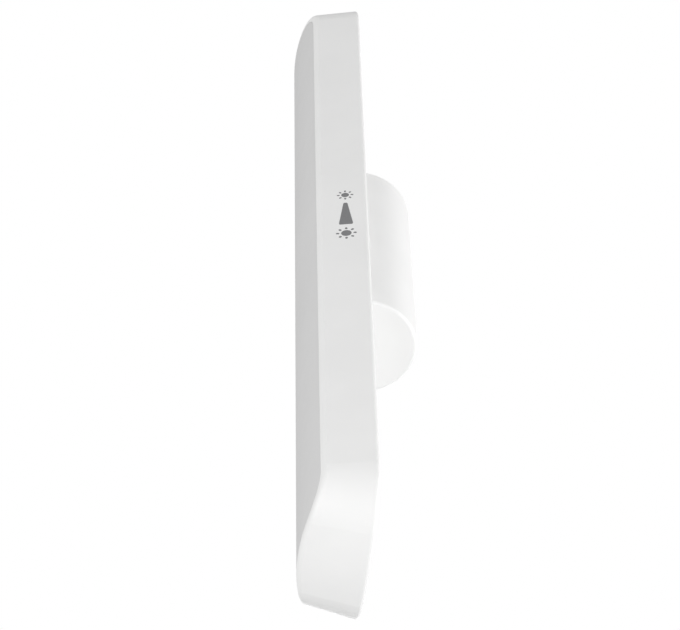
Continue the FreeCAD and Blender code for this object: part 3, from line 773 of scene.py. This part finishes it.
can_steel = metal("nickel_plated_can", (0.60, 0.59, 0.56), (0.68, 0.67, 0.64), 0.2, 0.34,
                  0.5 * MM)
cap_top = cell_high.z
cap_radii = np.array([6.6, 6.6, 4.45, 4.2, 4.15, 3.9, 3.2, 1.0]) * MM
cap_heights = cap_top - np.array([1.75, 1.35, 1.30, 1.15, 0.35, 0.08, 0.0, 0.0]) * MM
base_radii = np.array([7.5, 7.5, 7.2]) * MM
base_heights = cell_low.z + np.array([0.02, 0.5, 0.6]) * MM
piece("cell_cap", [upright(cap_radii, cap_heights, CELL_Y, 48)], can_steel, "lamp")
piece("cell_base", [upright(base_radii, base_heights, CELL_Y, 48)], can_steel, "lamp")

fish_paper, paper_tree, paper_shader, paper_place = material_with("fish_paper")
blend_colours(paper_tree, noise(paper_tree, paper_place, 0.5 * MM, 4.0), (0.72, 0.71, 0.64),
              (0.80, 0.79, 0.73), paper_shader.inputs["Base Color"])
spread(paper_tree, noise(paper_tree, paper_place, 0.3 * MM), 0.75, 0.9,
       paper_shader.inputs["Roughness"])
relief(paper_tree, paper_shader, noise(paper_tree, paper_place, 0.15 * MM, 4.0), 0.02 * MM)
dress("insulator_ring", fish_paper)
dress("battery_tabs", can_steel)
dress("battery_cradle", moulded("natural_abs", (0.74, 0.72, 0.66), (0.79, 0.77, 0.71), 0.40,
                                0.55, 0.3 * MM, 0.006 * MM))

weld_spots = []
for tab_z, out in ((cell_high.z + 0.25 * MM, 1.0), (cell_low.z - 0.25 * MM, -1.0)):
    for spot_x in (-1.0, 1.0):
        for spot_y in (-0.9, 0.9):
            spot = upright(np.array([0.42, 0.42, 0.30]) * MM,
                           tab_z + np.array([-0.02, 0.015, 0.05]) * MM, 0.0, 16)
            points = spot[0] + (spot_x * MM, CELL_Y + spot_y * MM, 0.0)
            if out < 0:
                points = points * (1.0, 1.0, -1.0) + (0.0, 0.0, 2 * tab_z)
                weld_spots.append((points, [face[::-1] for face in spot[1]]))
            else:
                weld_spots.append((points, spot[1]))
piece("weld_spots", weld_spots, can_steel, "lamp")


# ---------------------------------------------------------------------------
# Magnets.  Four nickel-plated neodymium blocks in the pockets of a moulded nylon saddle,
# on a curved steel plate that closes their circuit behind them.
# ---------------------------------------------------------------------------

MAGNET_LEAN = math.radians(40.0)
MAGNET_HALF = (4.0 * MM, 11.0 * MM)
MAGNET_RADIAL = (11.7 * MM, 13.6 * MM)
MAGNET_Z = 16.0 * MM
magnet_shells = []
for lean in (-MAGNET_LEAN, MAGNET_LEAN):
    out = np.array([-math.sin(lean), math.cos(lean), 0.0])
    aside = np.array([-math.cos(lean), -math.sin(lean), 0.0])
    for magnet_z in (-MAGNET_Z, MAGNET_Z):
        origin = out * MAGNET_RADIAL[0] + (0.0, 0.0, magnet_z)
        magnet_shells.append(slab(rounded(*MAGNET_HALF, 0.5 * MM), origin, aside,
                                  np.array([0.0, 0.0, 1.0]),
                                  MAGNET_RADIAL[1] - MAGNET_RADIAL[0]))
magnet_plate = metal("nickel_plate", (0.56, 0.56, 0.56), (0.66, 0.66, 0.66), 0.12, 0.26,
                     0.15 * MM, (1.0, 1.0, 0.3))
magnets = piece("magnet_blocks", magnet_shells, magnet_plate, "lamp",
                ("hub_magnets",))
edge_round = magnets.modifiers.new("edge_round", "BEVEL")
edge_round.width = 0.25 * MM
edge_round.segments = 3
edge_round.limit_method = "ANGLE"
edge_round.angle_limit = math.radians(40.0)
dress("magnet_carrier", black_nylon)
dress("magnet_yoke", metal("zinc_plated_steel", (0.50, 0.52, 0.54), (0.60, 0.62, 0.64), 0.28,
                           0.45, 0.8 * MM, (1.0, 1.0, 0.15)))


# ---------------------------------------------------------------------------
# Leads.  Stranded copper in silicone insulation: red and black from the cell to a white
# plug, and three white ones soldered to the back of the light board.
# ---------------------------------------------------------------------------


def insulation(name, first, second):
    """Extruded silicone: soft sheen, fine dust and faint drawing lines."""
    material, tree, shader, place = material_with(name)
    blend_colours(tree, noise(tree, place, 1.2 * MM, 3.0), first, second,
                  shader.inputs["Base Color"])
    spread(tree, noise(tree, place, 0.5 * MM), 0.38, 0.52, shader.inputs["Roughness"])
    relief(tree, shader, noise(tree, place, 0.2 * MM, 2.0, (1.0, 1.0, 0.2)), 0.006 * MM)
    shader.inputs["Sheen Weight"].default_value = 0.15
    return material


dress("wire_positive", insulation("red_silicone", (0.42, 0.012, 0.010), (0.50, 0.018, 0.014)))
dress("wire_negative", insulation("black_silicone", (0.012, 0.012, 0.012),
                                  (0.022, 0.022, 0.022)))
dress("light_wires", insulation("white_silicone", (0.72, 0.72, 0.70), (0.78, 0.78, 0.76)))
dress("plug_socket", moulded("natural_nylon", (0.70, 0.68, 0.60), (0.76, 0.74, 0.67), 0.35,
                             0.48, 0.2 * MM, 0.004 * MM))


def solder_bead(place, radius, height, facing):
    """A solder bead facing -Y or +Y: rings that shrink as a quarter circle rises."""
    rise = np.linspace(0.0, np.pi / 2 * 0.94, 7)
    bead = turned(radius * np.cos(rise), height * np.sin(rise), (0.0, 0.0, 0.0), 18)
    points = bead[0]
    if facing > 0.0:
        points = points * (-1.0, -1.0, 1.0)
    return points + np.asarray(place), bead[1]


beads = [solder_bead((x, board_high.y + 0.04 * MM, LEAD_END_Z), 0.55 * MM, 0.5 * MM, 1.0)
         for x in LEAD_X]
beads += [solder_bead((x, circuit_low.y - 0.02 * MM, 75.2 * MM), 0.62 * MM, 0.6 * MM, -1.0)
          for x in LEAD_X]
piece("solder_beads", beads, tin, "lamp")


# ---------------------------------------------------------------------------
# Screws.  Zinc-plated, pan-headed, cross-recessed screws with a rolled thread: eight on
# the light board, four on the control board and four that hold the hub and the cradle.
# ---------------------------------------------------------------------------

SCREW_TURNS = 36


def screw(place, thread_radius, length, head_radius, head_height, pitch):
    """A screw that points along +Y, as rings from its tip to the middle of its head.

    On the shank the radius is the core plus a triangle wave of height over pitch minus
    turn, which makes the helix.  On top of the head the height drops inside a cross.
    """
    turn = np.linspace(0.0, 2.0 * np.pi, SCREW_TURNS, endpoint=False)
    shank = np.linspace(-length, -0.35 * pitch, int(length / pitch * 7))[:, None]
    phase = np.mod(shank / pitch - turn / (2.0 * np.pi), 1.0)
    ridge = 1.0 - np.abs(2.0 * phase - 1.0)
    taper = np.clip((shank + length) / (1.6 * thread_radius), 0.25, 1.0)
    shank_radius = thread_radius * taper * (0.74 + 0.26 * ridge ** 1.5)
    head_share = np.array([0.48, 0.97, 1.0, 0.99, 0.92, 0.80, 0.68, 0.58, 0.48, 0.40, 0.32,
                           0.25, 0.18, 0.12, 0.06])
    head_rise = np.array([0.0, 0.0, 0.12, 0.45, 0.72, 0.88, 0.95, 0.98, 0.99, 1.0, 1.0, 1.0,
                          1.0, 1.0, 1.0])
    head_radii = head_radius * head_share[:, None] + 0.0 * turn
    rise = head_height * head_rise[:, None] + 0.0 * turn
    across = np.abs(head_radii * np.cos(turn))
    along = np.abs(head_radii * np.sin(turn))
    arm = 0.13 * head_radius
    inside = np.clip((arm - np.minimum(across, along)) / (0.05 * head_radius) + 0.5, 0.0, 1.0)
    reach = np.clip((0.60 * head_radius - np.maximum(across, along)) / (0.08 * head_radius),
                    0.0, 1.0)
    rise = rise - 0.55 * head_height * inside * reach * (head_share[:, None] < 0.7)
    radii = np.concatenate([shank_radius, head_radii])
    height = np.concatenate([shank + 0.0 * turn, rise])
    x = place[0] + radii * np.cos(turn)
    z = place[2] + radii * np.sin(turn)
    return shell_of_rings(np.stack([x, place[1] - height, z], -1))


zinc = metal("zinc_plated_screw", (0.56, 0.57, 0.58), (0.66, 0.67, 0.68), 0.22, 0.36, 0.2 * MM)


def screw_group(name, node, places, thread_radius, length, head_radius, head_height, pitch):
    """A group of like screws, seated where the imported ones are."""
    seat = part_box(node)[0].y + head_height
    shells = [screw((x, seat, z), thread_radius, length, head_radius, head_height, pitch)
              for x, z in places]
    piece(name, shells, zinc, "lamp", (node,))


LIGHT_BOARD_SCREWS = [(side * 13.4 * MM, z * MM) for z in (-112.0, -56.0, 56.0, 112.0)
                      for side in (-1, 1)]
CONTROL_BOARD_SCREWS = [(x * MM, z * MM) for x, z in ((-8.0, 70.0), (8.0, 70.0), (-8.5, 120.0),
                                                      (8.5, 120.0))]
HUB_SCREWS = [(side * 11.9 * MM, end * 27.0 * MM) for side in (-1, 1) for end in (-1, 1)]
screw_group("screws_light_board", "light_board_screws", LIGHT_BOARD_SCREWS,
            0.82 * MM, 6.0 * MM, 2.0 * MM, 1.2 * MM, 0.6 * MM)
screw_group("screws_control_board", "board_screws", CONTROL_BOARD_SCREWS,
            0.72 * MM, 3.6 * MM, 1.7 * MM, 1.0 * MM, 0.5 * MM)
screw_group("screws_hub", "hub_screws", HUB_SCREWS,
            0.92 * MM, 7.6 * MM, 1.9 * MM, 1.2 * MM, 0.7 * MM)
